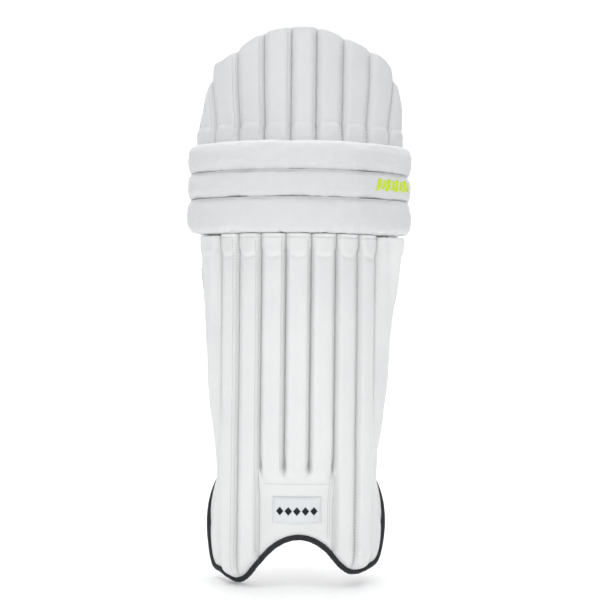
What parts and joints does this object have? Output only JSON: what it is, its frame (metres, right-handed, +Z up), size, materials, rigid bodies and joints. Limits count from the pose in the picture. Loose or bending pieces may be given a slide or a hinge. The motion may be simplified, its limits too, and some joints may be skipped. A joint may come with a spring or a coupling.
{
  "type": "cricket batting leg pad",
  "caption": "Cricket batting pad with a ribbed shin, an arched ribbed thigh section, knee rolls that flex between them, folding side wings and touch-fastening calf straps.",
  "frame": {"origin": "on the axis of the leg that wears the pad, level with the lowest point of the bottom edge", "axes": "+Z up the leg; -Y the way the pad faces, away from the leg; +X to the right as the pad is seen from the front"},
  "size_m": [0.2878, 0.208, 0.6996],
  "materials": {
    "leathercloth": "satin",
    "roll_leathercloth": "satin",
    "lining_cloth": "matte",
    "foam": "matte",
    "cane": "satin",
    "binding": "matte",
    "strap_webbing": "matte",
    "hook_tape": "matte",
    "loop_tape": "matte",
    "label_cloth": "satin"
  },
  "bodies": {
    "shin": {"shin_cover": "leathercloth", "shin_lining": "lining_cloth", "shin_core_1": "foam", "shin_core_2": "foam", "shin_core_3": "foam", "shin_core_4": "foam", "shin_core_5": "foam", "shin_core_6": "foam", "shin_core_7": "foam", "cane_rod_1": "cane", "cane_rod_2": "cane", "cane_rod_3": "cane", "cane_rod_4": "cane", "cane_rod_5": "cane", "cane_rod_6": "cane", "cane_rod_7": "cane", "instep_pad": "foam", "label_patch": "label_cloth", "bottom_binding": "binding", "shin_bolster_left": "lining_cloth", "shin_bolster_right": "lining_cloth", "knee_bolster": "lining_cloth"},
    "roll_lower": {"knee_roll_cover_lower": "roll_leathercloth", "knee_roll_foam_lower": "foam"},
    "roll_middle": {"knee_roll_cover_middle": "roll_leathercloth", "knee_roll_foam_middle": "foam", "knee_cup": "lining_cloth"},
    "roll_upper": {"knee_roll_cover_upper": "roll_leathercloth", "knee_roll_foam_upper": "foam"},
    "top_hat": {"top_cover": "leathercloth", "top_lining": "lining_cloth", "top_core_1": "foam", "top_core_2": "foam", "top_core_3": "foam", "top_core_4": "foam", "top_core_5": "foam", "top_core_6": "foam", "top_core_7": "foam", "top_core_8": "foam", "top_core_9": "foam"},
    "wing_left": {"wing_cover_left": "leathercloth", "wing_foam_left": "foam", "wing_lining_left": "lining_cloth", "wing_binding_left": "binding", "strap_anchor_knee": "strap_webbing", "strap_anchor_calf": "strap_webbing", "strap_anchor_ankle": "strap_webbing"},
    "wing_right": {"wing_cover_right": "leathercloth", "wing_foam_right": "foam", "wing_lining_right": "lining_cloth", "wing_binding_right": "binding", "loop_patch_knee": "loop_tape", "loop_patch_calf": "loop_tape", "loop_patch_ankle": "loop_tape"},
    "strap_knee": {"strap_band_knee": "strap_webbing", "hook_pad_knee": "hook_tape"},
    "strap_calf": {"strap_band_calf": "strap_webbing", "hook_pad_calf": "hook_tape"},
    "strap_ankle": {"strap_band_ankle": "strap_webbing", "hook_pad_ankle": "hook_tape"}
  },
  "joints": [
    {"name": "knee_flex_1", "type": "hinge", "parent": "shin", "child": "roll_lower", "pos_m": [0, -0.006, 0.4407], "axis": [-1, 0, 0], "range_deg": [0, 7]},
    {"name": "knee_flex_2", "type": "hinge", "parent": "roll_lower", "child": "roll_middle", "pos_m": [0, -0.006, 0.4836], "axis": [-1, 0, 0], "range_deg": [0, 7]},
    {"name": "knee_flex_3", "type": "hinge", "parent": "roll_middle", "child": "roll_upper", "pos_m": [0, -0.006, 0.517], "axis": [-1, 0, 0], "range_deg": [0, 7]},
    {"name": "knee_flex_4", "type": "hinge", "parent": "roll_upper", "child": "top_hat", "pos_m": [0, -0.006, 0.5533], "axis": [-1, 0, 0], "range_deg": [0, 7]},
    {"name": "wing_left_fold", "type": "hinge", "parent": "shin", "child": "wing_left", "pos_m": [-0.08722, -0.04594, 0.23], "axis": [0, 0, -1], "range_deg": [0, 6]},
    {"name": "wing_right_fold", "type": "hinge", "parent": "shin", "child": "wing_right", "pos_m": [0.08722, -0.04594, 0.23], "axis": [0, 0, 1], "range_deg": [0, 15]},
    {"name": "strap_knee_open", "type": "hinge", "parent": "wing_left", "child": "strap_knee", "pos_m": [-0.11665, 0.04273, 0.378], "axis": [0, 0, 1], "range_deg": [0, 110]},
    {"name": "strap_calf_open", "type": "hinge", "parent": "wing_left", "child": "strap_calf", "pos_m": [-0.10166, 0.04787, 0.308], "axis": [0, 0, 1], "range_deg": [0, 110]},
    {"name": "strap_ankle_open", "type": "hinge", "parent": "wing_left", "child": "strap_ankle", "pos_m": [-0.08524, 0.04973, 0.238], "axis": [0, 0, 1], "range_deg": [0, 110]}
  ],
  "couplings": [
    {"joint": "knee_flex_2", "follows": "knee_flex_1", "ratio": 1},
    {"joint": "knee_flex_3", "follows": "knee_flex_1", "ratio": 1},
    {"joint": "knee_flex_4", "follows": "knee_flex_1", "ratio": 1}
  ]
}
